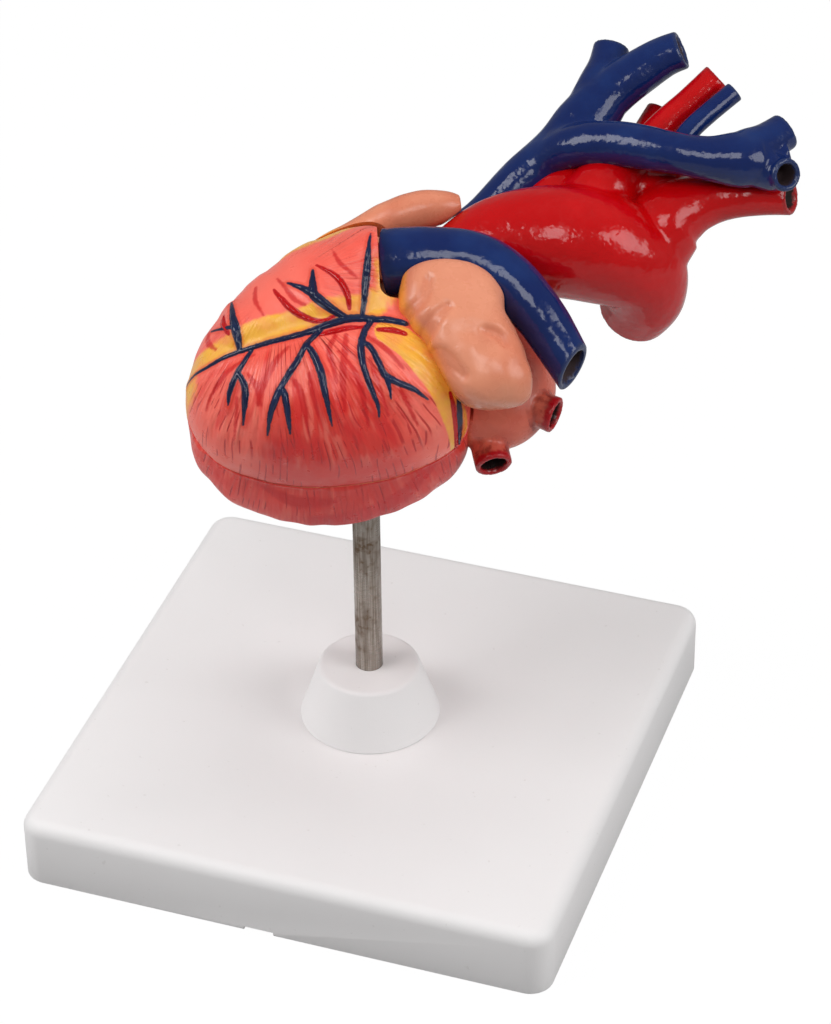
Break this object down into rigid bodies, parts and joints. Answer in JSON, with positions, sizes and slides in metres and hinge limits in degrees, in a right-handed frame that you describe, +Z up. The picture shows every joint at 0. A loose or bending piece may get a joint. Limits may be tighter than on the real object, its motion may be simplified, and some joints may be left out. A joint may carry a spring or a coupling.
{
  "type": "human heart anatomy model",
  "caption": "Life-size human heart teaching model with lift-off front wall and great vessels, turning on a steel rod in a square white base.",
  "frame": {"origin": "centre of the square base, on the surface it stands on", "axes": "+Z up along the rod; X and Y along the sides of the base, the picture's viewer on the -Y side"},
  "size_m": [0.1848, 0.1882, 0.2059],
  "materials": {
    "white_plastic": "warm white, matt",
    "rod_steel": "drawn, slightly tarnished",
    "socket_grey": "plain",
    "muscle": "hand-painted, satin",
    "atrial": "hand-painted, satin",
    "venous": "hand-painted, glossy",
    "arterial": "hand-painted, glossy",
    "valve_ivory": "hand-painted, satin",
    "magnet": "plated"
  },
  "bodies": {
    "stand": {"base_plate": "white_plastic", "base_cover": "white_plastic", "rod_boss": "white_plastic"},
    "rod": {"rod": "rod_steel"},
    "heart": {"back_half": "muscle", "rod_socket": "socket_grey", "left_atrium": "atrial", "right_atrium": "atrial", "right_auricle": "atrial", "pulmonary_veins": "arterial", "inferior_vena_cava": "venous", "coronary_sinus": "venous", "mitral_valve": "valve_ivory", "tricuspid_valve": "valve_ivory", "papillary_muscles": "muscle", "chordae": "valve_ivory", "magnets_back": "magnet"},
    "front": {"front_wall": "muscle", "left_auricle": "atrial", "coronary_veins": "venous", "coronary_arteries": "arterial", "magnets_front": "magnet"},
    "vessels": {"aorta": "arterial", "arch_arteries": "arterial", "pulmonary_trunk": "venous", "superior_vena_cava": "venous", "left_brachiocephalic_vein": "venous", "thyroid_vein": "venous", "aortic_valve": "valve_ivory", "pulmonary_valve": "valve_ivory"}
  },
  "joints": [
    {"name": "heart_turn", "type": "hinge", "parent": "stand", "child": "rod", "pos_m": [0, 0, 0.03], "axis": [0, 0, 1], "continuous": true},
    {"name": "heart_lift", "type": "slide", "parent": "rod", "child": "heart", "axis": [0, 0, 1], "range_m": [0, 0.035]},
    {"name": "front_wall_lift", "type": "slide", "parent": "heart", "child": "front", "axis": [0.1896, -0.5413, 0.8192], "range_m": [0, 0.06]},
    {"name": "great_vessels_lift", "type": "slide", "parent": "heart", "child": "vessels", "axis": [0.7943, 0.575, 0.1962], "range_m": [0, 0.06]}
  ]
}
